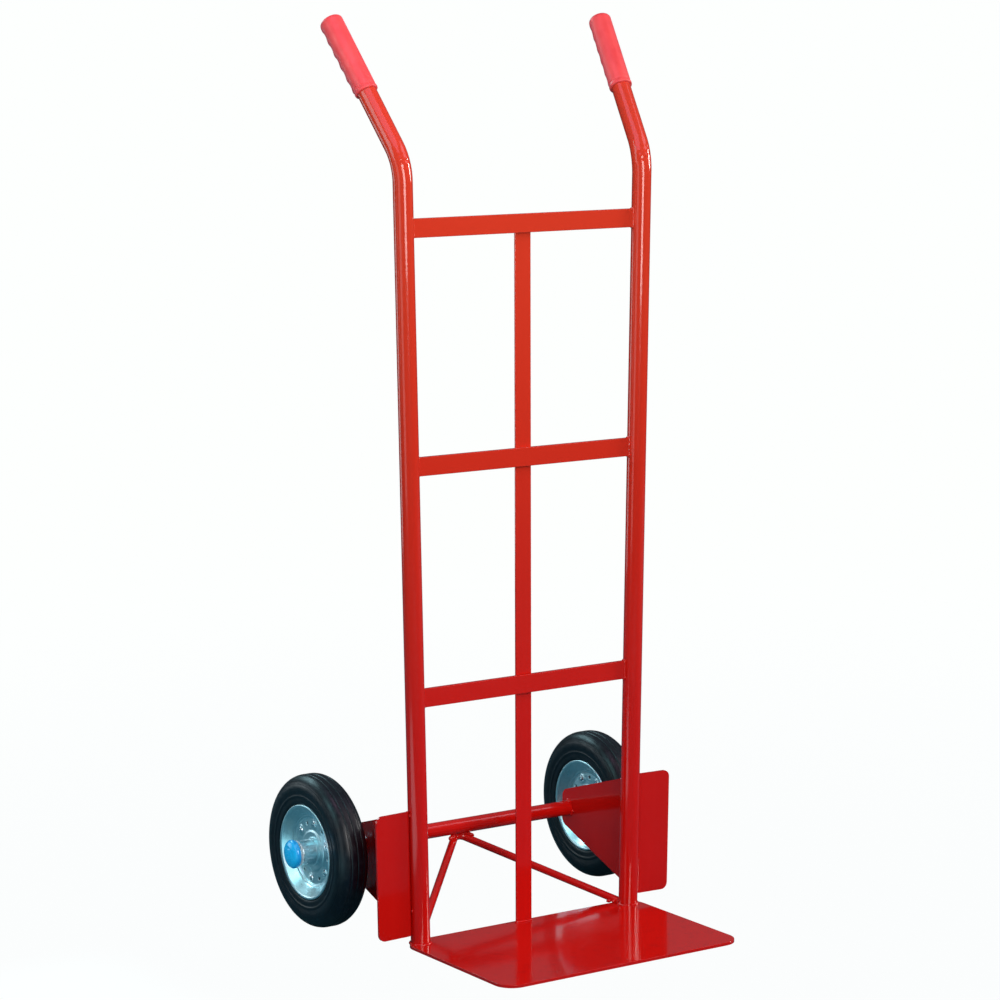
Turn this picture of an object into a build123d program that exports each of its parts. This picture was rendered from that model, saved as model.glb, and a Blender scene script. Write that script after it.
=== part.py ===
"""Steel hand truck: two bent tube uprights, flat crossbars, a toe plate and two wheels on one axle.

Frame: X to the user's right when facing the load side, Y towards the user, Z up, millimetres.
The floor is z = 0, x = 0 is the plane of symmetry, and y = 0 is midway between the toe plate's
front edge and the back of the tyres.  The toe plate points along -Y.
"""
from build123d import *
from math import cos, radians, sin, tan
import os

# Wheels
tyre_radius = 100.0
tyre_width = 44.0
tyre_shoulder = 17.0
tyre_wall_step = 8.0            # radial height of the sidewall's slope above the rim's lip
tyre_seat_gap = 0.3             # between rubber and rim
wheel_x = 220.5                 # middle plane of each wheel
rim_lip_radius = 62.0
rim_lip_offset = 19.5           # sheet centre line at the lip, from the wheel's middle plane
rim_lip_depth = 3.0             # radial height of the lip's straight rim
rim_disc_offset = 6.0           # sheet centre line of the flat disc
rim_disc_radius = 47.0
rim_disc_step = 3.5             # axial depth of the cone's foot beside the disc
rim_collar = 5.0                # length of the collar that takes the hub
rim_bend = 1.4
rim_sheet = 2.0
hub_radius = 16.0
hub_bore = 13.5
hub_half_length = 30.5
bush_flange_radius = 16.8
bush_flange = 2.5
bush_length = 20.0
bush_play = 0.06
rivet_circle = 37.0
rivet_count = 6
rivet_radius = 2.5
rivet_spacer_radius = 4.0
rivet_head = ((4.5, 0.0), (4.0, 1.2), (2.4, 2.0), (0.0, 2.2))   # radius and height above the disc
vent_radius = 2.5
tread_groove_offsets = (-9.0, 0.0, 9.0)
tread_groove_width = 1.4
tread_groove_depth = 1.2

# Toe plate
plate_width = 364.0
plate_depth = 235.5
plate_thickness = 4.0
plate_corner = 25.0
plate_edge = 0.6
plate_front_y = -239.0

# Frame tubes
tube_radius = 12.5
tube_wall = 1.5
upright_y = plate_front_y + 221.0
foot_spacing = 327.0            # between tube centres at floor level
upright_lean = 1.11             # degrees outward on each side
bend_corner = 993.5             # distance along the tube to the handle bend's corner
bend_radius = 73.0
handle_lean = 36.7              # degrees back from the upright
handle_splay = 9.0              # degrees outward from straight back
handle_length = 211.0           # corner to tube end

# Flat bars
bar_heights = {"lower_crossbar": 320.5, "middle_crossbar": 615.0, "top_crossbar": 912.0}
bar_height = 24.0
bar_thickness = 6.0
bar_front = -1.0                # bar's front face, from the tubes' centre plane
bar_edge = 0.8
strap_width = 24.0
strap_thickness = 3.0
strap_rise = 9.0                # above the top bar's centre line

# Axle, brackets and brace
axle_y = upright_y + 157.0
axle_radius = 10.0
axle_bore = 7.0
axle_half_length = 259.5
bracket_sheet = 3.0
bracket_inner = 12.1            # gusset's inner face from the tube's centre line
bracket_bend = 4.0
flange_reach = 62.7             # flange's outer edge from the tube's centre line
flange_front = -2.0
flange_bottom = 16.0
flange_top = 178.0
flange_corner = 9.0
gusset_rear = 170.5
gusset_front = 3.0
gusset_top_front = 174.8
gusset_top_rear = 122.8
gusset_bottom_rear = 77.8
gusset_corner = 8.0
brace_radius = 5.0
brace_foot = (158.2, 11.6, 5.0)  # from the plane of symmetry, the tubes' centre plane and the floor
brace_apex = (165.9, 88.2)       # y from the tubes' centre plane, and height
brace_bend = 12.0

# Collars, washers and caps on the axle
collar_radius = 16.0
collar_start = 181.4
washer_radius = 17.2
washer_thickness = 1.6
ring_edge = 0.4
side_gap = 0.35                 # axial play between still and turning faces
cap_radius = 18.7
cap_rim = 3.0
cap_height = 9.0
cap_edge = 1.0

# Grips
grip_radius = 14.6
grip_lip_radius = 15.3
grip_lip = 4.0
grip_start = 105.0              # mouth, from the handle bend's corner
grip_end_wall = 5.0
grip_end_round = 5.0
ridge_offset = 2.2
ridge_radius = 14.2
finger_floor = 0.3              # least thickness of the ridge, at the bottom of a finger groove
finger_pitch = 19.0
finger_first = 17.5             # first finger groove from the closed end
finger_count = 5
finger_radius = 13.0

side_names = {"left": -1, "right": 1}
axle_height = tyre_radius
hub_inner = wheel_x - hub_half_length - bush_flange
hub_outer = wheel_x + hub_half_length + bush_flange
slab = Pos(0, 0, plate_thickness - 100) * Box(1000, 1000, 200)


def on_side(shape, side):
    """A shape made for the right side, mirrored for the left."""
    return shape if side > 0 else mirror(shape, about=Plane.YZ)


def along_x(shape, x, y=axle_y, z=axle_height):
    """Stand a solid of revolution about Z on the axle's line, its own z running outward along +X."""
    return Plane(origin=(x, y, z), x_dir=(0, 1, 0), z_dir=(1, 0, 0)) * shape


def ring(outer, inner, start, length):
    """A plain ring with eased outer edges, on the right-hand side of the axle."""
    body = Cylinder(outer, length, align=(Align.CENTER, Align.CENTER, Align.MIN))
    body = fillet(body.edges().filter_by(GeomType.CIRCLE), ring_edge)
    hole = Cylinder(inner, length, align=(Align.CENTER, Align.CENTER, Align.MIN))
    return along_x(body - hole, start)


def spun(face):
    """Revolve a face drawn as (axial offset, radius) about the axle's direction."""
    return revolve(face, axis=Axis.X)


# ---- Frame tubes ----

def handle_directions():
    """Unit vectors of the right upright and of its handle."""
    lean, bend, splay = radians(upright_lean), radians(handle_lean), radians(handle_splay)
    up = Vector(sin(lean), 0, cos(lean))
    back = Vector(sin(splay), cos(splay), 0)
    back = (back - up * back.dot(up)).normalized()
    return up, up * cos(bend) + back * sin(bend)


upright_up, handle_up = handle_directions()
upright_foot = Vector(foot_spacing / 2, upright_y, 0)
handle_corner = upright_foot + upright_up * bend_corner


def upright_tube(radius):
    """Solid rod of the upright's route, from the toe plate's top face to the handle's end."""
    tip = handle_corner + handle_up * handle_length
    route = FilletPolyline(upright_foot, handle_corner, tip, radius=bend_radius)
    return sweep(Plane(origin=upright_foot, z_dir=upright_up) * Circle(radius), path=route) - slab


upright_filled = upright_tube(tube_radius)
upright = upright_filled - upright_tube(tube_radius - tube_wall)
both_uprights = [upright_filled, mirror(upright_filled, about=Plane.YZ)]


def crossbar(height):
    """Flat bar between the uprights, its ends shaped to the tubes."""
    reach = foot_spacing / 2 + height * tan(radians(upright_lean))
    bar = Box(2 * reach, bar_thickness, bar_height)
    bar = fillet(bar.edges().filter_by(Axis.X), bar_edge)
    bar = Pos(0, upright_y + bar_front + bar_thickness / 2, height) * bar
    return bar - both_uprights[0] - both_uprights[1]


def centre_strap():
    """Upright strap behind the crossbars, standing on the toe plate."""
    top = bar_heights["top_crossbar"] + strap_rise
    length = top - plate_thickness
    strap = Box(strap_width, strap_thickness, length)
    strap = fillet(strap.edges().filter_by(Axis.Z), bar_edge)
    y = upright_y + bar_front + bar_thickness + strap_thickness / 2
    return Pos(0, y, plate_thickness + length / 2) * strap


def toe_plate():
    plate = Box(plate_width, plate_depth, plate_thickness)
    plate = fillet(plate.edges().filter_by(Axis.Z), plate_corner)
    plate = fillet(plate.faces().sort_by(Axis.Z)[-1].edges(), plate_edge)
    return Pos(0, plate_front_y + plate_depth / 2, plate_thickness / 2) * plate


# ---- Axle, brackets and brace ----

def axle_tube():
    bar = Cylinder(axle_radius, 2 * axle_half_length) - Cylinder(axle_bore, 2 * axle_half_length)
    return along_x(bar, 0)


def wheel_bracket():
    """Bent sheet: a flange beside the tube that faces the load, and a gusset that runs back."""
    middle = bracket_inner + bracket_sheet / 2
    front = flange_front + bracket_sheet / 2
    bend_line = FilletPolyline(
        (flange_reach, front), (middle, front), (middle, gusset_rear), radius=bracket_bend)
    sheet = extrude(trace(bend_line, line_width=bracket_sheet), amount=flange_top)

    ahead = flange_front - bracket_sheet
    side_view = make_face(Polyline(
        (ahead, flange_bottom), (ahead, flange_top), (gusset_front, flange_top),
        (gusset_front, gusset_top_front), (gusset_rear, gusset_top_rear),
        (gusset_rear, gusset_bottom_rear), (gusset_front, flange_bottom), close=True))
    rear_corners = side_view.vertices().sort_by(Axis.X)[-2:]
    side_view = fillet(rear_corners, gusset_corner)
    sheet = sheet & extrude(Plane.YZ * side_view, amount=2 * flange_reach)

    front_view = Rectangle(2 * flange_reach, flange_top - flange_bottom)
    front_view = fillet(front_view.vertices(), flange_corner)
    front_view = Pos(0, (flange_top + flange_bottom) / 2) * front_view
    sheet = sheet & extrude(Plane.XZ * front_view, amount=2 * gusset_rear, both=True)

    sheet = Plane(origin=upright_foot, x_dir=(0, -1, 0), z_dir=upright_up) * (Rot(0, 0, 90) * sheet)
    return sheet - upright_filled - along_x(Cylinder(axle_radius, 4 * flange_reach), foot_spacing / 2)


def brace_rod():
    """One round rod bent to a V: its apex under the axle, its feet on the toe plate."""
    foot_x, foot_y, foot_z = brace_foot
    apex_y, apex_z = brace_apex
    left = Vector(-foot_x, upright_y + foot_y, foot_z)
    apex = Vector(0, upright_y + apex_y, apex_z)
    right = Vector(foot_x, upright_y + foot_y, foot_z)
    route = FilletPolyline(left, apex, right, radius=brace_bend)
    rod = sweep(Plane(origin=left, z_dir=apex - left) * Circle(brace_radius), path=route)
    return rod - slab - both_uprights[0] - both_uprights[1]


# ---- Grips ----

def grip():
    """Moulded sleeve with a closed end, and finger grooves along its underside."""
    length = handle_length + grip_end_wall - grip_start
    low = (Align.CENTER, Align.CENTER, Align.MIN)
    body = Cylinder(grip_radius, length, align=low)
    body = fillet(body.faces().sort_by(Axis.Z)[-1].edges(), grip_end_round)
    ridge = Cylinder(ridge_radius, length, align=low)
    ridge = Pos(0, -ridge_offset, 0) * fillet(ridge.faces().sort_by(Axis.Z)[-1].edges(), grip_end_round)
    groove_y = grip_radius + finger_floor + finger_radius
    for number in range(finger_count):
        height = length - finger_first - number * finger_pitch
        ridge = ridge - Pos(0, -groove_y, height) * Rot(0, 90, 0) * Cylinder(finger_radius, 60)
    lip = Cylinder(grip_lip_radius, grip_lip, align=low)
    bore = Cylinder(tube_radius, handle_length - grip_start, align=low)
    body = body + ridge + lip - bore
    mouth = handle_corner + handle_up * grip_start
    across = upright_up.cross(handle_up)
    return Plane(origin=mouth, x_dir=across, z_dir=handle_up) * body


# ---- Wheels ----

def rivet_spots(phase, shift=0.0):
    """Places round the rim's disc, in the frame of a solid that stands on the axle's line."""
    step = 360 / rivet_count
    angles = [phase + (number + shift) * step for number in range(rivet_count)]
    return [Rot(0, 0, angle) * Pos(rivet_circle, 0, 0) for angle in angles]


def rim_half(phase):
    """Outboard half of a pressed rim: lip, cone, flat disc with rivet and vent holes, and hub collar."""
    collar_line = hub_radius + rim_sheet / 2
    profile = FilletPolyline(
        (rim_lip_offset, rim_lip_radius), (rim_lip_offset, rim_lip_radius - rim_lip_depth),
        (rim_disc_offset + rim_disc_step, rim_disc_radius), (rim_disc_offset, rim_disc_radius),
        (rim_disc_offset, collar_line), (rim_disc_offset + rim_collar, collar_line), radius=rim_bend)
    sheet = spun(trace(profile, line_width=rim_sheet))
    sheet = Plane(origin=(wheel_x, axle_y, axle_height), x_dir=(1, 0, 0), z_dir=(0, 0, 1)) * sheet
    rivet_hole = Cylinder(rivet_radius, 4 * rim_disc_offset)
    vent = Cylinder(vent_radius, 4 * rim_disc_offset)
    for spot in rivet_spots(phase):
        sheet = sheet - along_x(spot * rivet_hole, wheel_x + rim_disc_offset)
    for spot in rivet_spots(phase, 0.5):
        sheet = sheet - along_x(spot * vent, wheel_x + rim_disc_offset)
    return sheet


def rim_rivets(phase):
    """Distance rivets that join the two rim discs."""
    face = rim_disc_offset + rim_sheet / 2
    back = rim_disc_offset - rim_sheet / 2
    upper = [(rivet_spacer_radius, back), (rivet_radius, back), (rivet_radius, face)]
    upper += [(radius, face + height) for radius, height in rivet_head]
    lower = [(radius, -height) for radius, height in reversed(upper)]
    rivet = revolve(Plane.XZ * make_face(Polyline(*(lower + upper), close=True)), axis=Axis.Z)
    return Compound([along_x(spot * rivet, wheel_x) for spot in rivet_spots(phase)])


def shoulder_drop(offset, crown):
    """How far the shoulder's arc lies below the crown, at an axial offset."""
    past = max(0.0, abs(offset) - crown)
    return tyre_shoulder - (tyre_shoulder**2 - past**2)**0.5


def tyre():
    """Solid rubber tyre with a rounded ribbed tread and a base that sits between the rim's cones."""
    half = tyre_width / 2
    crown = half - tyre_shoulder
    clear = rim_sheet / 2 + tyre_seat_gap
    cone_foot = rim_disc_offset + rim_disc_step
    cone = Vector(rim_lip_offset - cone_foot, rim_lip_radius - rim_lip_depth - rim_disc_radius).normalized()
    base = rim_disc_radius + clear
    seat = rim_lip_offset - clear
    base_half = cone_foot + clear * (cone.X - 1) / cone.Y
    right = [(base_half, base), (seat, base + (seat - base_half) * cone.Y / cone.X),
             (seat, rim_lip_radius + tyre_seat_gap), (half, rim_lip_radius + tyre_wall_step),
             (half, tyre_radius - tyre_shoulder)]
    left = [(-x, r) for x, r in reversed(right)]
    lower = Polyline(*(left + right))
    right_shoulder = RadiusArc((half, tyre_radius - tyre_shoulder), (crown, tyre_radius), -tyre_shoulder)
    top = Line((crown, tyre_radius), (-crown, tyre_radius))
    left_shoulder = RadiusArc((-crown, tyre_radius), (-half, tyre_radius - tyre_shoulder), -tyre_shoulder)
    section = make_face([lower, right_shoulder, top, left_shoulder])
    for offset in tread_groove_offsets:
        depth = tread_groove_depth + shoulder_drop(offset, crown)
        section = section - Pos(offset, tyre_radius) * Rectangle(tread_groove_width, 2 * depth)
    return Plane(origin=(wheel_x, axle_y, axle_height), x_dir=(1, 0, 0), z_dir=(0, 0, 1)) * spun(section)


def hub_tube():
    return ring(hub_radius, hub_bore, wheel_x - hub_half_length, 2 * hub_half_length)


def bush(end):
    """Flanged nylon bush pressed into the hub's outboard (+1) or inboard (-1) end."""
    sleeve = Cylinder(hub_bore, bush_length, align=(Align.CENTER, Align.CENTER, Align.MAX))
    flange = Cylinder(bush_flange_radius, bush_flange, align=(Align.CENTER, Align.CENTER, Align.MIN))
    body = sleeve + flange - Cylinder(axle_radius + bush_play, 4 * bush_length)
    if end < 0:
        body = mirror(body, about=Plane.XY)
    return along_x(body, wheel_x + end * hub_half_length)


def axle_cap():
    """Push-on domed cap on the axle's end."""
    dome_height = cap_height - cap_rim
    dome_radius = (cap_radius**2 + dome_height**2) / (2 * dome_height)
    low = (Align.CENTER, Align.CENTER, Align.MIN)
    dome = Pos(0, 0, cap_height - dome_radius) * Sphere(dome_radius)
    body = Cylinder(cap_radius, cap_height, align=low) & dome
    body = fillet(body.edges().filter_by(GeomType.CIRCLE), cap_edge)
    start = hub_outer + 2 * side_gap + washer_thickness
    return along_x(body, start) - along_x(Cylinder(axle_radius, 2 * axle_half_length), 0)


parts = {
    "toe_plate": toe_plate(),
    "centre_strap": centre_strap(),
    "axle": axle_tube(),
    "brace_rod": brace_rod(),
}
for name, height in bar_heights.items():
    parts[name] = crossbar(height)

wheel_phases = {"left": 67.0, "right": 90.0}   # where a rivet gap stands on each wheel, degrees
right_shapes = {
    "upright": upright,
    "wheel_bracket": wheel_bracket(),
    "grip": grip(),
    "axle_collar": ring(collar_radius, axle_radius, collar_start, hub_inner - side_gap - collar_start),
    "axle_washer": ring(washer_radius, axle_radius, hub_outer + side_gap, washer_thickness),
    "axle_cap": axle_cap(),
    "tyre": tyre(),
    "hub_tube": hub_tube(),
    "outer_bush": bush(1),
    "inner_bush": bush(-1),
}
for side_name, side in side_names.items():
    for name, shape in right_shapes.items():
        parts[f"{side_name}_{name}"] = on_side(shape, side)
    phase = wheel_phases[side_name] + 180 / rivet_count
    half = rim_half(phase)
    inner_half = mirror(half, about=Plane.YZ.offset(wheel_x))
    parts[f"{side_name}_outer_rim"] = on_side(half, side)
    parts[f"{side_name}_inner_rim"] = on_side(inner_half, side)
    parts[f"{side_name}_rim_rivets"] = on_side(rim_rivets(phase), side)

os.makedirs("parts", exist_ok=True)
for name, shape in parts.items():
    export_step(shape, f"parts/{name}.step")
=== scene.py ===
import random
from math import atan2, cos, degrees, exp, hypot, pi, radians, sin, sqrt, tan, tau

import bpy
from mathutils import Matrix, Vector


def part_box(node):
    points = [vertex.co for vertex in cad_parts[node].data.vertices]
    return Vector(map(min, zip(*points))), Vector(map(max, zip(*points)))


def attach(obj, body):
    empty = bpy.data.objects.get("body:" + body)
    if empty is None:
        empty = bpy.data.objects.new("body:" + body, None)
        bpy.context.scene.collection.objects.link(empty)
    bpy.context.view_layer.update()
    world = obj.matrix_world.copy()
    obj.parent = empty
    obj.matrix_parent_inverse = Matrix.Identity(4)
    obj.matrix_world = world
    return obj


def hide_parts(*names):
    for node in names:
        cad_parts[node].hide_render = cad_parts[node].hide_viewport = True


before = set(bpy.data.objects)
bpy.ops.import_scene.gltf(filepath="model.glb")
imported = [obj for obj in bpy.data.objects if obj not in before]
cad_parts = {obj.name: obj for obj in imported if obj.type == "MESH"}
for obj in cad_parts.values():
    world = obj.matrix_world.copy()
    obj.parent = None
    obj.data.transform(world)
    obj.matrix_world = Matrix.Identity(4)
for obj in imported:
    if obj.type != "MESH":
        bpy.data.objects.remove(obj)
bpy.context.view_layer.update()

# ---- Sizes, in metres and radians ----

plate_low, plate_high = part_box("toe_plate")
axle_low, axle_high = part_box("axle")
tyre_low, tyre_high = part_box("right_tyre")
upright_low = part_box("right_upright")[0]

PLATE_TOP = plate_high.z
AXLE_Y = (axle_low.y + axle_high.y) / 2
AXLE_Z = (axle_low.z + axle_high.z) / 2
AXLE_RADIUS = (axle_high.z - axle_low.z) / 2
WHEEL_X = (tyre_low.x + tyre_high.x) / 2
TYRE_HALF = (tyre_high.x - tyre_low.x) / 2
TYRE_RADIUS = (tyre_high.z - tyre_low.z) / 2

TUBE_RADIUS = 0.0125
UPRIGHT_Y = upright_low.y + TUBE_RADIUS
FOOT_X = 0.1635
LEAN = radians(1.11)
BEND_CORNER = 0.9935
BEND_RADIUS = 0.073
HANDLE_LEAN = radians(36.7)
HANDLE_SPLAY = radians(9.0)
HANDLE_LENGTH = 0.211

BARS = ("lower_crossbar", "middle_crossbar", "top_crossbar")
SIDES = {"left": -1, "right": 1}
RIVET_COUNT = 6
RIVET_CIRCLE = 0.037
RIVET_PHASE = {"left": 67.0, "right": 90.0}

X_AXIS = Vector((1, 0, 0))
Z_AXIS = Vector((0, 0, 1))


# ---- Mesh helpers ----

def make_object(name, vertices, faces, sharp=radians(40)):
    """A smooth-shaded mesh object with sharp edges where its faces turn by more than the given angle."""
    mesh = bpy.data.meshes.new(name)
    mesh.from_pydata([tuple(v) for v in vertices], [], faces)
    mesh.validate()
    mesh.polygons.foreach_set("use_smooth", [True] * len(mesh.polygons))
    mesh.set_sharp_from_angle(angle=sharp)
    mesh.update()
    piece = bpy.data.objects.new(name, mesh)
    bpy.context.collection.objects.link(piece)
    return piece


def finish_piece(piece, body, slot, replaces=(), material=None):
    """Gives a piece its material, its slot's own unless one is given, puts it on the body that carries it,
    and hides the nodes it stands in for.
    """
    piece.data.materials.clear()
    piece.data.materials.append(material or MATERIALS[slot])
    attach(piece, body)
    if replaces:
        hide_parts(*replaces)
    return piece


def apply_modifiers(piece):
    """Replaces the piece's mesh by the one that its modifiers make."""
    depsgraph = bpy.context.evaluated_depsgraph_get()
    mesh = bpy.data.meshes.new_from_object(piece.evaluated_get(depsgraph))
    piece.modifiers.clear()
    piece.data = mesh


def grid_faces(rows, columns, closed_rows=False, closed_columns=True, start=0):
    """Quads of a grid of rows x columns vertices; a closed direction wraps round."""
    faces = []
    for i in range(rows if closed_rows else rows - 1):
        below = start + i * columns
        above = start + (i + 1) % rows * columns
        for j in range(columns if closed_columns else columns - 1):
            k = (j + 1) % columns
            faces.append((below + j, below + k, above + k, above + j))
    return faces


def rounded(points, radius, steps=5, closed=False):
    """The points of a 2-D or 3-D polyline with each inner corner turned into an arc."""
    points = [Vector(p) for p in points]
    count = len(points)
    out = [] if closed else [points[0]]
    for i in (range(count) if closed else range(1, count - 1)):
        corner = points[i]
        before, after = points[i - 1] - corner, points[(i + 1) % count] - corner
        angle = before.angle(after)
        if abs(angle - pi) < 1e-3:
            out.append(corner)
            continue
        cut = min(radius / tan(angle / 2), before.length * 0.49, after.length * 0.49)
        start, end = corner + before.normalized() * cut, corner + after.normalized() * cut
        centre = corner + (before.normalized() + after.normalized()).normalized() * cut / cos(angle / 2)
        for step in range(steps + 1):
            share = step / steps
            out.append(centre + arc_step(start - centre, end - centre, share))
    return out if closed else out + [points[-1]]


def arc_step(first, last, share):
    """A vector turned a share of the way from first to last."""
    angle = first.angle(last)
    return (first * sin((1 - share) * angle) + last * sin(share * angle)) / sin(angle)


def lengths(points):
    """Distance along a polyline at each point."""
    total, out = 0.0, [0.0]
    for a, b in zip(points, points[1:]):
        total += (b - a).length
        out.append(total)
    return out


def resampled(points, spacing):
    """The polyline at even spacing."""
    at = lengths(points)
    count = max(2, round(at[-1] / spacing))
    out, k = [], 0
    for i in range(count + 1):
        s = at[-1] * i / count
        while k < len(at) - 2 and at[k + 1] < s:
            k += 1
        share = (s - at[k]) / max(at[k + 1] - at[k], 1e-12)
        out.append(points[k].lerp(points[k + 1], min(1.0, share)))
    return out


def frames_along(points, side, closed=False):
    """A (tangent, side, up) frame at each point, carried along without twist."""
    out = []
    count = len(points)
    for i in range(count):
        before = points[i - 1] if closed or i else points[0]
        after = points[(i + 1) % count] if closed or i < count - 1 else points[-1]
        tangent = (after - before).normalized()
        side = (side - tangent * side.dot(tangent)).normalized()
        out.append((tangent, side, tangent.cross(side)))
    return out


def sweep(points, side, section, closed=False):
    """Vertices and faces of section(i), points (along side, along up, along tangent), swept on a path."""
    count = len(points)
    vertices, columns = [], None
    for i, (tangent, across, up) in enumerate(frames_along(points, side, closed)):
        ring = section(i)
        columns = len(ring)
        vertices += [points[i] + across * a + up * b + tangent * c for a, b, c in ring]
    faces = grid_faces(count, columns, closed_rows=closed)
    if not closed:
        faces.append(tuple(reversed(range(columns))))
        faces.append(tuple(range((count - 1) * columns, count * columns)))
    return vertices, faces


def circle(radius, sides):
    return [(radius * cos(tau * k / sides), radius * sin(tau * k / sides), 0.0) for k in range(sides)]


def lathe(name, profile, sides, x, sense, shape=None, sharp=radians(35)):
    """A closed (axial, radius) outline turned about the axle's line at x; sense +1 faces it outward to +X."""
    vertices = []
    for k in range(sides):
        angle = tau * k / sides
        for a, r in profile:
            if shape:
                a, r = shape(a, r, angle)
            vertices.append((x + sense * a, AXLE_Y + r * cos(angle), AXLE_Z + r * sin(angle)))
    faces = grid_faces(sides, len(profile), closed_rows=True)
    if sense > 0:
        faces = [tuple(reversed(f)) for f in faces]
    return make_object(name, vertices, faces, sharp)


def joined(name, pieces):
    """Vertices and faces lists joined into one object."""
    vertices, faces = [], []
    for v, f in pieces:
        start = len(vertices)
        vertices += v
        faces += [tuple(start + i for i in face) for face in f]
    return make_object(name, vertices, faces, radians(60))


# ---- Materials ----

class Shader:
    """A Principled material under construction, with short calls to add and link nodes."""

    def __init__(self, name, **inputs):
        self.material = bpy.data.materials.new(name)
        self.material.use_nodes = True
        self.tree = self.material.node_tree
        self.main = self.tree.nodes["Principled BSDF"]
        for key, value in inputs.items():
            self.main.inputs[key.replace("_", " ")].default_value = value
        self.place = self.tree.nodes.new("ShaderNodeTexCoord").outputs["Object"]

    def add(self, kind, settings, links):
        made = self.tree.nodes.new(kind)
        for key, value in settings.items():
            setattr(made, key, value)
        for key, value in links.items():
            if isinstance(value, bpy.types.NodeSocket):
                self.tree.links.new(value, made.inputs[key])
            else:
                made.inputs[key].default_value = value
        return made

    def stretched(self, scale):
        """Object coordinates scaled along each axis."""
        return self.add("ShaderNodeMapping", {}, {"Vector": self.place, "Scale": scale}).outputs["Vector"]

    def vector(self, **parts):
        """A vector made from the named axes; the others are zero."""
        return self.add("ShaderNodeCombineXYZ", {}, parts).outputs["Vector"]

    def noise(self, scale, detail=3.0, roughness=0.5, place=None):
        links = {"Vector": place or self.place, "Scale": scale, "Detail": detail, "Roughness": roughness}
        return self.add("ShaderNodeTexNoise", {}, links).outputs["Fac"]

    def spots(self, scale):
        return self.add("ShaderNodeTexVoronoi", {}, {"Vector": self.place, "Scale": scale})

    def ramp(self, value, low, high, to_low=0.0, to_high=1.0):
        links = {"Value": value, "From Min": low, "From Max": high, "To Min": to_low, "To Max": to_high}
        return self.add("ShaderNodeMapRange", {"interpolation_type": "SMOOTHSTEP"}, links).outputs["Result"]

    def maths(self, kind, a, b):
        return self.add("ShaderNodeMath", {"operation": kind}, {0: a, 1: b}).outputs["Value"]

    def mix(self, share, a, b):
        return self.add("ShaderNodeMix", {"data_type": "RGBA"}, {0: share, 6: a, 7: b}).outputs[2]

    def bump(self, height, strength, distance, under=None):
        links = {"Height": height, "Strength": strength, "Distance": distance}
        if under:
            links["Normal"] = under
        return self.add("ShaderNodeBump", {}, links).outputs["Normal"]

    def axis(self, name):
        return self.add("ShaderNodeSeparateXYZ", {}, {"Vector": self.place}).outputs[name]

    def around_axle(self):
        """Radius from the axle's line, and the angle round it."""
        y = self.maths("SUBTRACT", self.axis("Y"), AXLE_Y)
        z = self.maths("SUBTRACT", self.axis("Z"), AXLE_Z)
        square = self.maths("ADD", self.maths("MULTIPLY", y, y), self.maths("MULTIPLY", z, z))
        return self.maths("POWER", square, 0.5), self.maths("ARCTAN2", z, y)

    def done(self, colour=None, roughness=None, normal=None, coat_normal=None):
        for key, value in (("Base Color", colour), ("Roughness", roughness), ("Normal", normal),
                           ("Coat Normal", coat_normal)):
            if value is not None:
                self.tree.links.new(value, self.main.inputs[key])
        return self.material


def rgb(r, g, b):
    return (r, g, b, 1.0)


def paint(name, grain=1.0):
    """Glossy signal-red enamel: soft orange peel, faint runs, dust grains, painted light that turns it
    lighter and more orange towards the top, and blotchy darkening near the floor.
    """
    m = Shader(name, Coat_Weight=0.45, Coat_Roughness=0.06, Specular_IOR_Level=0.20)
    drift = m.noise(3.0, 3.0)
    runs = m.noise(1.0, 3.0, place=m.stretched((150, 150, 5)))
    red = m.mix(m.ramp(drift, 0.3, 0.7), rgb(0.52, 0.0040, 0.0024), rgb(0.56, 0.0050, 0.0030))
    red = m.mix(m.ramp(runs, 0.45, 0.75, 0.0, 0.25), red, rgb(0.58, 0.0070, 0.0040))
    height = m.axis("Z")
    # Painted light: the red turns lighter and more orange with height, standing in for stronger lamp light on
    # the upper frame.
    red = m.mix(m.ramp(height, 0.15, 1.0), red, rgb(0.62, 0.040, 0.016))
    # Blotchy darkening in the lowest few centimetres, near the floor.
    darker_near_floor = m.maths("MULTIPLY", m.ramp(height, 0.035, 0.0), m.ramp(m.noise(90.0, 5.0), 0.5, 0.75, 0.0, 0.22))
    red = m.mix(darker_near_floor, red, rgb(0.20, 0.006, 0.008))
    specks = m.ramp(m.spots(420.0).outputs["Distance"], 0.10, 0.04, 0.0, 0.2)
    red = m.mix(specks, red, rgb(0.34, 0.002, 0.002))
    rough = m.ramp(m.noise(14.0, 3.0), 0.3, 0.75, 0.11, 0.17)
    peel = m.bump(m.noise(150.0, 2.0), 0.05 * grain, 0.0005)
    dust = m.bump(m.noise(1300.0, 2.0), 0.05 * grain, 0.0002, peel)
    return m.done(red, rough, dust, peel)


def grip_vinyl():
    """Soft coral-red vinyl with a fine moulding grain and a pink sheen."""
    m = Shader("grip_vinyl_detail", Sheen_Weight=0.35, Sheen_Roughness=0.35, Specular_IOR_Level=0.45,
               Subsurface_Weight=0.08, Subsurface_Scale=0.004)
    m.main.inputs["Sheen Tint"].default_value = rgb(1.0, 0.35, 0.55)
    m.main.inputs["Subsurface Radius"].default_value = (1.0, 0.2, 0.1)
    blotch = m.noise(45.0, 4.0)
    red = m.mix(m.ramp(blotch, 0.3, 0.7), rgb(0.76, 0.052, 0.052), rgb(0.84, 0.075, 0.070))
    streak = m.noise(1.0, 3.0, place=m.stretched((260, 60, 60)))
    red = m.mix(m.ramp(streak, 0.5, 0.8, 0.0, 0.3), red, rgb(0.90, 0.10, 0.10))
    rough = m.ramp(m.noise(70.0, 4.0), 0.3, 0.7, 0.36, 0.50)
    grain = m.bump(m.spots(900.0).outputs["Distance"], 0.12, 0.0003)
    return m.done(red, rough, m.bump(m.noise(260.0, 3.0), 0.12, 0.0005, grain))


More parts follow.
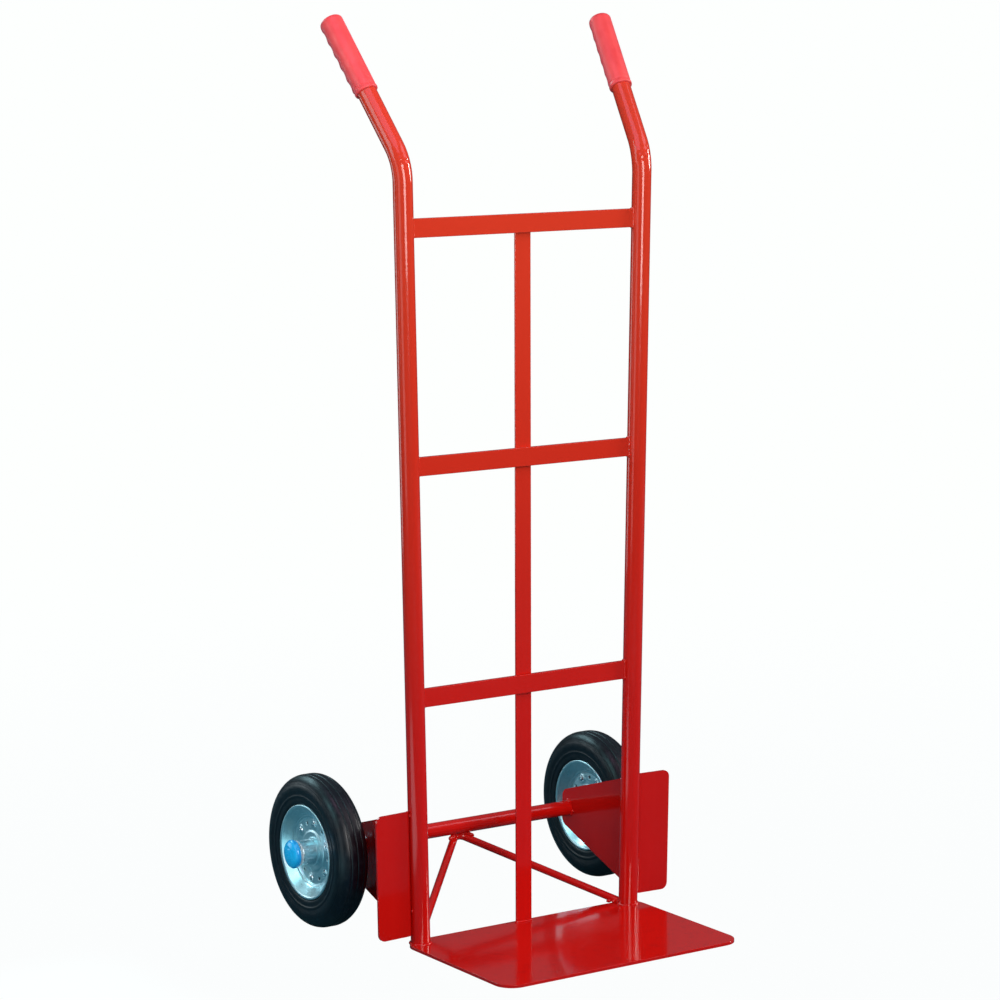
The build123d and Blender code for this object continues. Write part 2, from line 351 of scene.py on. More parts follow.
def tyre_rubber():
    """Near-black rubber with a navy cast, fine turned ribs, and grey dust that settles on the tread."""
    m = Shader("tyre_rubber_detail", Specular_IOR_Level=0.36)
    radius, _ = m.around_axle()
    blotch = m.noise(60.0, 5.0)
    black = m.mix(m.ramp(blotch, 0.3, 0.7), rgb(0.0006, 0.0018, 0.0045), rgb(0.0014, 0.0034, 0.0080))
    tread = m.ramp(radius, 0.088, 0.0985)
    dust = m.maths("MULTIPLY", tread, m.ramp(m.noise(150.0, 6.0, 0.65), 0.48, 0.72, 0.0, 0.40))
    black = m.mix(dust, black, rgb(0.018, 0.026, 0.032))
    rings = m.add("ShaderNodeTexWave", {"wave_type": "BANDS", "bands_direction": "X"},
                  {"Vector": m.vector(X=radius), "Scale": 190.0, "Distortion": 0.15,
                   "Detail": 1.0}).outputs["Fac"]
    ribs = m.bump(rings, 0.10, 0.0003)
    skin = m.bump(m.noise(900.0, 3.0), 0.14, 0.0003, ribs)
    rough = m.maths("ADD", m.ramp(m.noise(110.0, 4.0), 0.3, 0.7, 0.30, 0.42), m.maths("MULTIPLY", dust, 0.3))
    return m.done(black, rough, skin)


def zinc(name, tint, warm, low, high):
    """Bright zinc plate: spangle, turned brush marks round the axle, and faint passivation stains."""
    m = Shader(name, Metallic=1.0)
    radius, angle = m.around_axle()
    spangle = m.spots(340.0).outputs["Color"]
    grey = m.add("ShaderNodeRGBToBW", {}, {"Color": spangle}).outputs["Val"]
    colour = m.mix(m.ramp(grey, 0.1, 0.9, 0.0, 0.45), tint, rgb(*(0.88 * c for c in tint[:3])))
    colour = m.mix(m.ramp(m.noise(40.0, 4.0), 0.52, 0.75, 0.0, 0.40), colour, warm)
    brush = m.noise(1.0, 3.0, place=m.vector(X=m.maths("MULTIPLY", radius, 2600.0), Y=angle))
    cloudy = m.ramp(m.noise(40.0, 3.0), 0.4, 0.8, 0.0, 0.08)
    rough = m.maths("ADD", m.ramp(brush, 0.3, 0.7, low, high), cloudy)
    marks = m.bump(brush, 0.05, 0.0002)
    return m.done(colour, rough, m.bump(m.noise(30.0, 1.0), 0.03, 0.0004, marks))


def cap_plastic():
    """Glossy sky-blue moulded cap with painted shade towards its rim, faint turned moulding rings and fine
    scuffs.
    """
    m = Shader("cap_plastic_detail", Coat_Weight=0.3, Coat_Roughness=0.1, Specular_IOR_Level=0.5)
    radius, _ = m.around_axle()
    blue = m.mix(m.ramp(m.noise(130.0, 4.0), 0.3, 0.7), rgb(0.010, 0.44, 0.86), rgb(0.016, 0.50, 0.94))
    # Painted shade: the blue darkens towards the cap's rim, where its flank turns away from the light.
    blue = m.mix(m.ramp(radius, 0.0150, 0.0187), blue, rgb(0.006, 0.33, 0.76))
    scuffs = m.noise(1.0, 4.0, place=m.stretched((500, 120, 2200)))
    rough = m.ramp(scuffs, 0.35, 0.75, 0.16, 0.34)
    rings = m.noise(1.0, 2.0, place=m.vector(X=m.maths("MULTIPLY", radius, 1500.0)))
    return m.done(blue, rough, m.bump(rings, 0.05, 0.0002))


def nylon():
    """Cool off-white nylon with a faint translucency and a grey film where it runs."""
    m = Shader("bush_nylon_detail", Subsurface_Weight=0.15, Subsurface_Scale=0.003)
    white = m.mix(m.ramp(m.noise(200.0, 4.0), 0.35, 0.7), rgb(0.50, 0.58, 0.62), rgb(0.38, 0.45, 0.50))
    rough = m.ramp(m.noise(300.0, 3.0), 0.3, 0.7, 0.38, 0.52)
    return m.done(white, rough, m.bump(m.noise(1500.0, 2.0), 0.05, 0.0002))


MATERIALS = {
    "frame_paint": paint("frame_paint_detail"),
    "grip_vinyl": grip_vinyl(),
    "tyre_rubber": tyre_rubber(),
    "rim_zinc": zinc("rim_zinc_detail", rgb(0.68, 0.88, 0.94), rgb(0.72, 0.82, 0.80), 0.26, 0.38),
    "hub_zinc": zinc("hub_zinc_detail", rgb(0.62, 0.74, 0.80), rgb(0.60, 0.58, 0.42), 0.18, 0.32),
    "rivet_steel": zinc("rivet_steel_detail", rgb(0.82, 0.88, 0.92), rgb(0.78, 0.80, 0.80), 0.12, 0.22),
    "washer_zinc": zinc("washer_zinc_detail", rgb(0.70, 0.78, 0.84), rgb(0.70, 0.68, 0.56), 0.20, 0.34),
    "bush_nylon": nylon(),
    "cap_plastic": cap_plastic(),
}
weld_paint = paint("weld_paint_detail", 1.8)


def refinish_cad():
    """Every CAD node that still shows takes the detailed material of its own slot."""
    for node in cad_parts.values():
        for slot in node.material_slots:
            slot.material = MATERIALS[slot.material.name.split(".")[0]]


# ---- Frame tubes ----

def upright_frame(side):
    """Foot, direction of the upright, direction of its handle, and the handle bend's corner."""
    foot = Vector((side * FOOT_X, UPRIGHT_Y, 0))
    up = Vector((side * sin(LEAN), 0, cos(LEAN)))
    back = Vector((side * sin(HANDLE_SPLAY), cos(HANDLE_SPLAY), 0))
    back = (back - up * back.dot(up)).normalized()
    handle = up * cos(HANDLE_LEAN) + back * sin(HANDLE_LEAN)
    return foot, up, handle, foot + up * BEND_CORNER


def make_upright(name, side):
    """Bent tube: the section ovals a little through the bend, and the inside of the bend wrinkles faintly."""
    foot, up, handle, corner = upright_frame(side)
    sides, arc_steps = 48, 28
    oval, wrinkle = 0.035, 0.00022
    start = foot + up * (PLATE_TOP / cos(LEAN))
    tip = corner + handle * (HANDLE_LENGTH - 0.0005)
    route = rounded([start, corner, tip], BEND_RADIUS, arc_steps)
    straight = resampled(route[0:2], 0.03)
    after = resampled(route[-2:], 0.02)
    points = straight[:-1] + route[1:-1] + after[1:]
    first_arc, last_arc = len(straight) - 1, len(straight) + arc_steps - 1
    across = up.cross(handle).normalized()

    def section(i):
        share = (i - first_arc) / (last_arc - first_arc)
        bent = sin(pi * min(1.0, max(0.0, share)))
        ring = []
        for k in range(sides):
            angle = tau * k / sides
            inner = max(0.0, sin(angle)) ** 3
            radius = TUBE_RADIUS + wrinkle * bent * inner * cos(tau * share * 7)
            wide, narrow = 1 + oval * bent, 1 - oval * bent
            ring.append((radius * cos(angle) * wide, radius * sin(angle) * narrow, 0.0))
        return ring

    vertices, faces = sweep(points, across, section)
    for k in range(sides):
        vertices[k].z = PLATE_TOP
    return make_object(name, vertices, faces)


# ---- Brackets ----

BRACKET_SHEET = 0.003
BRACKET_MIDDLE = 0.0136          # gusset's middle plane from the tube's centre line
FLANGE_REACH = 0.0627
FLANGE_MIDDLE = -0.0005          # flange's middle plane, behind the tube's centre line
FLANGE_BOTTOM, FLANGE_TOP = 0.016, 0.178
FLANGE_CORNER = 0.009
GUSSET_REAR = 0.1705
GUSSET_START = 0.003
GUSSET_FRONT_TOP, GUSSET_REAR_TOP, GUSSET_REAR_BOTTOM = 0.1748, 0.1228, 0.0778
GUSSET_CORNER = 0.008
BRACKET_BEND = 0.004
CORNER_STEPS, FLANGE_STEPS, GUSSET_STEPS = 7, 5, 12
BRACKET_ROWS = 14


def corner_cut(distance, radius):
    """How far a rounded corner pulls an edge in, at a distance from the end."""
    if distance >= radius:
        return 0.0
    return radius - sqrt(max(0.0, radius**2 - (radius - distance) ** 2))


def bracket_heights(point, from_outer, from_rear):
    """Lowest and highest edge of the sheet at a place on its bend line."""
    if point.y <= GUSSET_START:
        cut = corner_cut(from_outer, FLANGE_CORNER)
        return FLANGE_BOTTOM + cut, FLANGE_TOP - cut
    share = (point.y - GUSSET_START) / (GUSSET_REAR - GUSSET_START)
    cut = corner_cut(from_rear, GUSSET_CORNER)
    low = FLANGE_BOTTOM + share * (GUSSET_REAR_BOTTOM - FLANGE_BOTTOM)
    high = GUSSET_FRONT_TOP + share * (GUSSET_REAR_TOP - GUSSET_FRONT_TOP)
    return low + cut, high - cut


def bracket_stations():
    """Places along the sheet's bend line, closer together at its two rounded ends."""
    corners = [(FLANGE_REACH, FLANGE_MIDDLE, 0), (BRACKET_MIDDLE, FLANGE_MIDDLE, 0),
               (BRACKET_MIDDLE, GUSSET_REAR, 0)]
    line = rounded(corners, BRACKET_BEND, 8)
    flange = (line[0] - line[1]).length
    gusset = (line[-1] - line[-2]).length
    ends = [k / CORNER_STEPS for k in range(CORNER_STEPS)]
    flat = flange - FLANGE_CORNER
    cuts = [FLANGE_CORNER * (1 - cos(e * pi / 2)) / flange for e in ends]
    cuts += [(FLANGE_CORNER + flat * k / FLANGE_STEPS) / flange for k in range(FLANGE_STEPS)]
    stations = [line[0].lerp(line[1], cut) for cut in cuts] + line[1:-1]
    flat = gusset - GUSSET_CORNER
    cuts = [flat * k / GUSSET_STEPS / gusset for k in range(1, GUSSET_STEPS + 1)]
    cuts += [1 - GUSSET_CORNER * (1 - sin(e * pi / 2)) / gusset for e in ends[1:]]
    return stations + [line[-2].lerp(line[-1], cut) for cut in cuts] + [line[-1]]


def make_bracket(name, side):
    """Pressed sheet bent to an angle: a flange beside the tube and a tapered gusset that carries the axle."""
    foot, up, _, _ = upright_frame(side)
    outward = Vector((side, 0, 0)) - up * up.x * side
    outward.normalize()
    backward = Vector((0, 1, 0))
    stations = bracket_stations()
    at = lengths(stations)
    rows = BRACKET_ROWS
    vertices = []
    frames = frames_along(stations, Z_AXIS)
    for face in (-1, 1):
        for i, point in enumerate(stations):
            low, high = bracket_heights(point, at[i], at[-1] - at[i])
            normal = frames[i][2]
            for k in range(rows):
                place = point + normal * face * BRACKET_SHEET / 2
                height = low + (high - low) * k / (rows - 1)
                vertices.append(foot + outward * place.x + backward * place.y + up * height)
    count = len(stations)
    front = grid_faces(count, rows, closed_columns=False)
    back = [tuple(reversed(f)) for f in grid_faces(count, rows, closed_columns=False, start=count * rows)]
    rim = [i * rows for i in range(count)] + [(count - 1) * rows + k for k in range(1, rows)]
    rim += [i * rows + rows - 1 for i in range(count - 2, -1, -1)] + [k for k in range(rows - 2, 0, -1)]
    edge = []
    for a, b in zip(rim, rim[1:] + rim[:1]):
        edge.append((a, a + count * rows, b + count * rows, b))
    faces = front + back + edge
    if side < 0:
        faces = [tuple(reversed(f)) for f in faces]
    piece = make_object(name, vertices, faces)
    soften(piece, 0.0009)
    return piece


def soften(piece, width, segments=3):
    """Rounds the sharp edges and keeps the flat faces flat-shaded."""
    bevel = piece.modifiers.new("edge", "BEVEL")
    bevel.width = width
    bevel.segments = segments
    bevel.limit_method = "ANGLE"
    bevel.angle_limit = radians(50)
    bevel.harden_normals = True
    apply_modifiers(piece)


# ---- Welds ----

BEAD_SPACING = 0.0007
FOOT_BEAD, BAR_BEAD, AXLE_BEAD, BRACE_BEAD = 0.0015, 0.0016, 0.0019, 0.0024
STRAP_FOOT_BEAD, STRAP_SIDE_BEAD = 0.0014, 0.0013
FLANGE_TACK, FLANGE_TACK_LENGTH, FLANGE_TACK_HEIGHTS = 0.0013, 0.005, (0.045, 0.170)
GUSSET_TACK, GUSSET_TACK_LENGTH, GUSSET_TACK_HEIGHTS = 0.0017, 0.020, (0.050, 0.140)
AXLE_TACKS, AXLE_TACK_HALF = (100, 215, 330), 32       # degrees round the axle


def bead(points, side, radius, seed, closed=False, pitch=0.0022):
    """Rippled weld bead along a path, a little uneven in width, tapering to nothing at free ends."""
    rng = random.Random(seed)
    fine = resampled(points + ([points[0]] if closed else []), BEAD_SPACING)
    if closed:
        fine = fine[:-1]
    at = lengths(fine)
    wobble = [rng.uniform(0, tau) for _ in range(3)]
    sides = 12
    lag = radius * 0.7

    def section(i):
        s = at[i]
        uneven = 1 + 0.07 * sin(s * 420 + wobble[0]) + 0.06 * sin(s * 950 + wobble[1])
        taper = 1.0 if closed else min(1.0, sqrt(max(0.02, min(s, at[-1] - s) / (radius * 1.2))))
        ring = []
        for k in range(sides):
            angle = tau * k / sides
            ripple = 1 + 0.10 * abs(sin(pi * (s + lag * abs(cos(angle))) / pitch + wobble[2]))
            r = radius * uneven * taper * ripple
            ring.append((r * cos(angle), r * sin(angle), 0.0))
        return ring

    return sweep(fine, side, section, closed)


def ring_points(centre, axis, radius, first=0.0, last=tau, count=48):
    """Points round a circle about an axis, from one angle to another."""
    axis = axis.normalized()
    flat = axis.orthogonal().normalized()
    if abs(axis.x) > 0.9:
        flat = Vector((0, 1, 0))
    other = axis.cross(flat)
    turn = last - first
    steps = count if turn < tau - 1e-6 else count - 1
    points = []
    for k in range(steps + 1):
        angle = first + turn * k / count
        points.append(centre + (flat * cos(angle) + other * sin(angle)) * radius)
    return points


def foot_welds(side):
    """Bead round the upright's foot on the toe plate."""
    centre = Vector((side * (FOOT_X + PLATE_TOP * tan(LEAN)), UPRIGHT_Y, PLATE_TOP + 0.0003))
    points = ring_points(centre, Z_AXIS, TUBE_RADIUS + 0.0008)
    points = [Vector((p.x, min(p.y, plate_high.y - 0.0015), p.z)) for p in points]
    return [bead(points, Z_AXIS, FOOT_BEAD, 11 + side, closed=True)]


def bar_welds(bar, side):
    """Bead round the end of a crossbar, where it meets the tube."""
    low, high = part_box(bar)
    middle = (low.z + high.z) / 2
    corners = [(low.y, low.z), (low.y, high.z), (high.y, high.z), (high.y, low.z)]
    outline = rounded([(y, z, 0) for y, z in corners], 0.0012, 4, closed=True)
    outline = resampled(outline + outline[:1], 0.001)[:-1]
    points = []
    for place in outline:
        y, z = place.x, place.y
        centre = FOOT_X + z * tan(LEAN)
        x = centre - sqrt(TUBE_RADIUS**2 - (y - UPRIGHT_Y) ** 2) - 0.0004
        points.append(Vector((side * x, y, z)))
    return bead(points, X_AXIS, BAR_BEAD, int(middle * 1000) + side, closed=True)


def bracket_welds(side):
    """Tacks between the tube and the bracket: two in front of the flange, two behind along the gusset."""
    foot, up, _, _ = upright_frame(side)
    tacks = []
    for number, height in enumerate(FLANGE_TACK_HEIGHTS):
        start = foot + up * height + Vector((side * (TUBE_RADIUS + 0.0004), -0.0022, 0))
        points = [start, start + up * FLANGE_TACK_LENGTH]
        tacks.append(bead(points, X_AXIS, FLANGE_TACK, 31 + number + side))
    for number, height in enumerate(GUSSET_TACK_HEIGHTS):
        low = height - GUSSET_TACK_LENGTH / 2
        start = foot + up * low + Vector((side * (TUBE_RADIUS - 0.0020), 0.0085, 0))
        points = [start, start + up * GUSSET_TACK_LENGTH]
        tacks.append(bead(points, X_AXIS, GUSSET_TACK, 41 + number + side))
    return tacks


def axle_welds(side):
    """Tacks round the axle on both faces of the gusset."""
    lean_shift = AXLE_Z * tan(LEAN)
    tacks = []
    for face, outward in ((BRACKET_MIDDLE - BRACKET_SHEET / 2, -1), (BRACKET_MIDDLE + BRACKET_SHEET / 2, 1)):
        x = FOOT_X + lean_shift + face + outward * 0.0006
        centre = Vector((side * x, AXLE_Y, AXLE_Z))
        for number, middle in enumerate(AXLE_TACKS):
            first, turn = radians(middle - AXLE_TACK_HALF), radians(2 * AXLE_TACK_HALF)
            points = ring_points(centre, X_AXIS, AXLE_RADIUS + 0.0006, first, first + turn, 20)
            tacks.append(bead(points, X_AXIS, AXLE_BEAD, 60 + number + 5 * side + outward))
    return tacks


def brace_welds():
    """Bead between the brace's bend and the axle, and a lump at each foot."""
    low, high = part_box("brace_rod")
    pieces = []
    apex = Vector((0, high.y - 0.010, AXLE_Z - AXLE_RADIUS + 0.0008))
    path = ((0.001, 0.0015, 0.0), (0.012, -0.0005, -0.0022), (0.020, -0.004, -0.006))
    for side in (-1, 1):
        points = [Vector((side * x, apex.y + y, apex.z + z)) for x, y, z in path]
        pieces.append(bead(points, Z_AXIS, BRACE_BEAD, 80 + side))
        foot = Vector((side * (high.x - 0.006), low.y + 0.006, PLATE_TOP + 0.001))
        for number in range(3):
            start = foot + Vector((-side * (0.004 + 0.005 * number), 0.0045 * (number - 1), 0.0004))
            points = [start, start + Vector((side * 0.008, -0.001, 0.0012))]
            pieces.append(bead(points, Z_AXIS, BRACE_BEAD, 90 + number + side))
    return pieces


def strap_welds():
    """Bead round the strap's foot, and short beads where its edges cross the back of each bar."""
    low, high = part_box("centre_strap")
    corners = [(low.x, low.y), (high.x, low.y), (high.x, high.y), (low.x, high.y)]
    outline = rounded([(x, y, PLATE_TOP + 0.0004) for x, y in corners], 0.001, 4, closed=True)
    pieces = [bead(outline, Z_AXIS, STRAP_FOOT_BEAD, 5, closed=True)]
    for number, bar in enumerate(BARS):
        bar_low, bar_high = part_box(bar)
        for x in (low.x, high.x):
            start = Vector((x, bar_high.y + 0.0003, bar_low.z + 0.003))
            points = [start, start + Vector((0, 0, 0.018))]
            pieces.append(bead(points, X_AXIS, STRAP_SIDE_BEAD, 100 + number))
    return pieces


# ---- Grips ----

GRIP_RADIUS = 0.0146
GRIP_START = 0.105
GRIP_LENGTH = 0.111
GRIP_LIP = 0.0005
GRIP_END_ROUND = 0.0055
GRIP_MOUTH = 0.0004              # depth of the mouth's eased edge
GRIP_SIDES, GRIP_RINGS, GRIP_END_RINGS = 96, 150, 9
FINGER_FIRST, FINGER_PITCH, FINGER_COUNT = 0.0175, 0.019, 5


def grip_radius(s, angle):
    """Outer radius at a distance from the mouth; angle 0 is the underside."""
    under = max(0.0, cos(angle)) ** 2.2
    from_end = GRIP_LENGTH - s
    crest = 0.0
    for number in range(FINGER_COUNT + 1):
        offset = from_end - (FINGER_FIRST + (number - 0.5) * FINGER_PITCH)
        crest += exp(-((offset / (0.27 * FINGER_PITCH)) ** 2))
    fade = min(1.0, max(0.0, (s - 0.002) / 0.008))
    radius = GRIP_RADIUS + fade * under * 0.0021 * min(1.0, crest)
    radius += GRIP_LIP * exp(-(((s - 0.0022) / 0.0018) ** 4))
    groove = exp(-(((s - 0.0062) / 0.0010) ** 2))
    radius -= 0.00035 * groove
    seam = exp(-((sin(angle) ** 2) / 0.0006)) * (1.0 if cos(angle) < 0 else 0.4)
    return radius + 0.00012 * seam


def make_grip(name, side):
    """Moulded sleeve with a rounded closed end, finger crests along its underside and a rim at the mouth."""
    _, up, handle, corner = upright_frame(side)
    mouth = corner + handle * GRIP_START
    across = up.cross(handle).normalized()
    down = -handle.cross(across).normalized()
    if down.dot(up) > 0:
        down = -down
    sides = GRIP_SIDES
    vertices = []

    def add_ring(s, radius_at):
        for k in range(sides):
            angle = tau * k / sides
            vertices.append(mouth + handle * s + (down * cos(angle) + across * sin(angle)) * radius_at(angle))

    for radius in (TUBE_RADIUS + 0.0001, GRIP_RADIUS - 0.0004):
        add_ring(0.0, lambda angle: radius)
    shoulder = GRIP_LENGTH - GRIP_END_ROUND
    for k in range(GRIP_RINGS + 1):
        s = GRIP_MOUTH + (shoulder - GRIP_MOUTH) * k / GRIP_RINGS
        add_ring(s, lambda angle: grip_radius(s, angle))
    for step in range(1, GRIP_END_RINGS + 1):
        turn = step / GRIP_END_RINGS * pi / 2
        drop = GRIP_END_ROUND * (1 - cos(turn))
        add_ring(shoulder + GRIP_END_ROUND * sin(turn), lambda angle: grip_radius(shoulder, angle) - drop)
    for share, rise in ((0.45, 0.0), (0.2, 0.00015)):
        add_ring(GRIP_LENGTH + rise, lambda angle: GRIP_RADIUS * share)
    faces = grid_faces(len(vertices) // sides, sides)
    centre = len(vertices)
    vertices.append(mouth + handle * (GRIP_LENGTH + 0.00015))
    last = centre - sides
    faces += [(last + k, last + (k + 1) % sides, centre) for k in range(sides)]
    faces.append(tuple(reversed(range(sides))))
    if (vertices[sides] - vertices[0]).dot(vertices[0] - mouth) < 0:
        faces = [tuple(reversed(f)) for f in faces]
    return make_object(name, vertices, faces, radians(50))


# ---- Wheels ----

def arc_points(centre, radius, first, last, steps):
    """Points of an arc in (axial, radius); angles from the axial direction, in degrees."""
    out = []
    for k in range(steps + 1):
        angle = radians(first + (last - first) * k / steps)
        out.append(Vector((centre[0] + radius * cos(angle), centre[1] + radius * sin(angle))))
    return out


TREAD_GROOVES = (0.0, 0.0090)
GROOVE_WIDTH, GROOVE_DEPTH = 0.0013, 0.0009
SHOULDER = 0.0170


def tyre_profile():
    """Closed (axial, radius) outline: grooved crown, round shoulder, ringed sidewall and hidden base."""
    crown = TYRE_HALF - SHOULDER
    outer = [Vector((0, TYRE_RADIUS)), Vector((crown, TYRE_RADIUS))]
    outer += arc_points((crown, TYRE_RADIUS - SHOULDER), SHOULDER, 90, 0, 40)[1:]
    outer = resampled(outer, 0.0005)
    half = []
    for p in outer:
        depth = 0.0
        for groove in TREAD_GROOVES:
            share = 1.8 - abs(p.x - groove) / (GROOVE_WIDTH / 2)
            depth = max(depth, GROOVE_DEPTH * min(1.0, max(0.0, share)))
        angle = atan2(p.y - (TYRE_RADIUS - SHOULDER), p.x - crown) if p.x > crown else pi / 2
        depth = max(depth, 0.00025 * exp(-(((degrees(angle) - 22) / 2.0) ** 2)))
        inward = Vector((-cos(angle), -sin(angle)))
        half.append(p + inward * depth)
    slopes = [(0.0, 0.0812), (0.0003, 0.0785), (0.0006, 0.0762), (0.0007, 0.0750), (0.0004, 0.0742),
              (0.0004, 0.0722), (0.0009, 0.0713), (0.0011, 0.0700), (0.0012, 0.0665), (0.0014, 0.0645),
              (0.0020, 0.0630), (0.0034, 0.0626), (0.0038, 0.0612), (0.0038, 0.0595), (0.0131, 0.0484)]
    wall = [(TYRE_HALF - inset, radius) for inset, radius in slopes]
    half += resampled([half[-1]] + rounded(wall, 0.0007, 4), 0.0008)[1:]
    mirrored = [Vector((-p.x, p.y)) for p in reversed(half[1:])]
    return mirrored + half


def make_tyre(name, side):
    return lathe(name, tyre_profile(), 192, side * WHEEL_X, side, sharp=radians(45))


RIM_SHEET = 0.002


def rim_profile():
    """Closed outline of one pressed rim half: rolled lip, cone, stepped disc and hub collar."""
    line = rounded([(0.0195, 0.0611), (0.0193, 0.0590), (0.0101, 0.0478), (0.0086, 0.0470), (0.0086, 0.0448),
                    (0.0060, 0.0440), (0.0060, 0.0268), (0.0070, 0.0252), (0.0070, 0.0205), (0.0068, 0.0170),
                    (0.0110, 0.0170)], 0.0012, 5)
    line = resampled(line, 0.0009)
    face, back = [], []
    for i, p in enumerate(line):
        tangent = (line[min(i + 1, len(line) - 1)] - line[max(i - 1, 0)]).normalized()
        normal = Vector((-tangent.y, tangent.x))
        face.append(p + normal * RIM_SHEET / 2)
        back.append(p - normal * RIM_SHEET / 2)
    lip = [line[0] + (face[0] - line[0]) * cos(a) + (line[0] - line[1]).normalized() * RIM_SHEET / 2 * sin(a)
           for a in (pi * 0.8, pi * 0.6, pi * 0.4, pi * 0.2)]
    return face + list(reversed(back)) + lip


def rivet_angles(side_name, shift=0.0):
    """Angles of the rivets round the axle's line, from +Y towards +Z on the right wheel."""
    step = 360 / RIVET_COUNT
    phase = RIVET_PHASE[side_name] + step / 2
    return [radians(phase + (number + shift) * step) for number in range(RIVET_COUNT)]


def make_rim(name, side_name, outer):
    """Pressed rim half with a raised pad under each rivet and a vent hole between each pair."""
    side = SIDES[side_name]
    pads = [(RIVET_CIRCLE * cos(a), RIVET_CIRCLE * sin(a)) for a in rivet_angles(side_name)]

    def shape(a, r, angle):
        if a < 0.003 or not 0.028 < r < 0.0445:
            return a, r
        y, z = r * cos(angle), r * sin(angle)
        near = min(hypot(y - p, z - q) for p, q in pads)
        return a + 0.0005 * min(1.0, max(0.0, (0.0072 - near) / 0.0012)), r

    sense = side if outer else -side
    rim = lathe(name, rim_profile(), 288, side * WHEEL_X, sense, shape, radians(45))
    vents = []
    for a in rivet_angles(side_name, 0.5):
        centre = Vector((side * WHEEL_X, AXLE_Y + RIVET_CIRCLE * cos(a), AXLE_Z + RIVET_CIRCLE * sin(a)))
        ends = [centre - Vector((0.02, 0, 0)), centre + Vector((0.02, 0, 0))]
        vents.append(sweep(ends, Vector((0, 1, 0)), lambda i: circle(0.0025, 24)))
    cutter = joined("vent_cutter", vents)
    cut = rim.modifiers.new("vents", "BOOLEAN")
    cut.object = cutter
    cut.solver = "EXACT"
    apply_modifiers(rim)
    bpy.data.objects.remove(cutter)
    return rim


def make_hub(name, side):
    """Hub tube with chamfered ends and its rolled seam."""
    half, outer, inner = 0.0305, 0.016, 0.0135
    profile = rounded([(-half, inner), (-half, outer), (half, outer), (half, inner)], 0.0007, 3, closed=True)
    fine = []
    for a, b in zip(profile, profile[1:] + profile[:1]):
        fine += [a] if (b - a).length < 0.004 else resampled([a, b], 0.004)[:-1]

    def shape(a, r, angle):
        ridge = exp(-((((angle - radians(135)) / radians(2.2)) ** 2)))
        return a, r + (0.00022 * ridge if r > 0.0155 else 0.0)

    return lathe(name, fine, 180, side * WHEEL_X, side, shape)


def make_cap(name, side):
    """Domed push-on cap with a rolled rim and a shallow ring round its crown."""
    low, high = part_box("right_axle_cap")
    base, top, radius = low.x, high.x, (high.z - low.z) / 2
    rim = 0.0030
    outline = [(base, 0.0101), (base, radius - 0.0004), (base + rim, radius),
               (base + rim + 0.0004, radius - 0.0006)]
    dome = []
    height = top - base - rim
    steps = 26
    for k in range(1, steps):
        share = k / steps
        r = (radius - 0.0006) * cos(share * pi / 2)
        a = base + rim + height * sin(share * pi / 2) ** 0.9
        a -= 0.00035 * exp(-(((r - 0.0085) / 0.0007) ** 2))
        dome.append((a, r))
    profile = [Vector(p) for p in outline + dome]
    return lathe_solid(name, profile, 96, side)


def lathe_solid(name, profile, sides, side):
    """An open (x, radius) profile turned about the axle's line and closed at both ends."""
    vertices = []
    for x, r in profile:
        vertices += [Vector((side * x, AXLE_Y + r * cos(tau * k / sides), AXLE_Z + r * sin(tau * k / sides)))
                     for k in range(sides)]
    faces = grid_faces(len(profile), sides)
    last = (len(profile) - 1) * sides
    tip = len(vertices)
    vertices.append(Vector((side * profile[-1].x, AXLE_Y, AXLE_Z)))
    faces += [(last + k, last + (k + 1) % sides, tip) for k in range(sides)]
    faces.append(tuple(reversed(range(sides))))
    if side < 0:
        faces = [tuple(reversed(f)) for f in faces]
    return make_object(name, vertices, faces, radians(50))


# ---- Assembly ----

def build_frame():
    for side_name, side in SIDES.items():
        finish_piece(make_upright(f"{side_name}_upright_tube", side), "frame", "frame_paint",
                     [f"{side_name}_upright"])
        finish_piece(make_bracket(f"{side_name}_bracket_sheet", side), "frame", "frame_paint",
                     [f"{side_name}_wheel_bracket"])
        finish_piece(make_grip(f"{side_name}_grip_sleeve", side), "frame", "grip_vinyl",
                     [f"{side_name}_grip"])
        welds = foot_welds(side) + bracket_welds(side) + axle_welds(side)
        add_welds(f"{side_name}_frame_welds", welds)
    for bar in BARS:
        add_welds(f"{bar}_welds", [bar_welds(bar, side) for side in SIDES.values()])
    add_welds("brace_welds", brace_welds())
    add_welds("strap_welds", strap_welds())


def add_welds(name, pieces):
    finish_piece(joined(name, pieces), "frame", "frame_paint", material=weld_paint)


def build_wheels():
    for side_name, side in SIDES.items():
        body = f"{side_name}_wheel"
        finish_piece(make_tyre(f"{side_name}_tyre_rubber", side), body, "tyre_rubber", [f"{side_name}_tyre"])
        for half, outer in (("outer", True), ("inner", False)):
            finish_piece(make_rim(f"{side_name}_{half}_rim_pressing", side_name, outer), body, "rim_zinc",
                         [f"{side_name}_{half}_rim"])
        finish_piece(make_hub(f"{side_name}_hub_sleeve", side), body, "hub_zinc", [f"{side_name}_hub_tube"])
        finish_piece(make_cap(f"{side_name}_domed_cap", side), "frame", "cap_plastic",
                     [f"{side_name}_axle_cap"])


# ---- Camera, light and floor ----

CAMERA_PLACE = Vector((-2.3523, -3.4298, 1.18855))
CAMERA_YAW = radians(-34.1318)
CAMERA_PITCH = radians(-8.6314)
CAMERA_ROLL = radians(-0.1679)
CAMERA_LENS = 118.39
CAMERA_SENSOR = 36.0
BACKDROP = (0.985, 1.0, 0.99, 1)
FLOOR_NEAR = (0.985, 1.0, 1.0, 1)
SWEEP_GLOW = 1.8
LIT_LEFT, LIT_RIGHT = (-1.5, -1.2), (-0.45, -0.60)       # the lit patch fades in and out along X
LIT_FRONT, LIT_BACK = (-0.47, -0.40), (0.25, 0.10)       # and along Y
FLOOR_HALF = 30.0


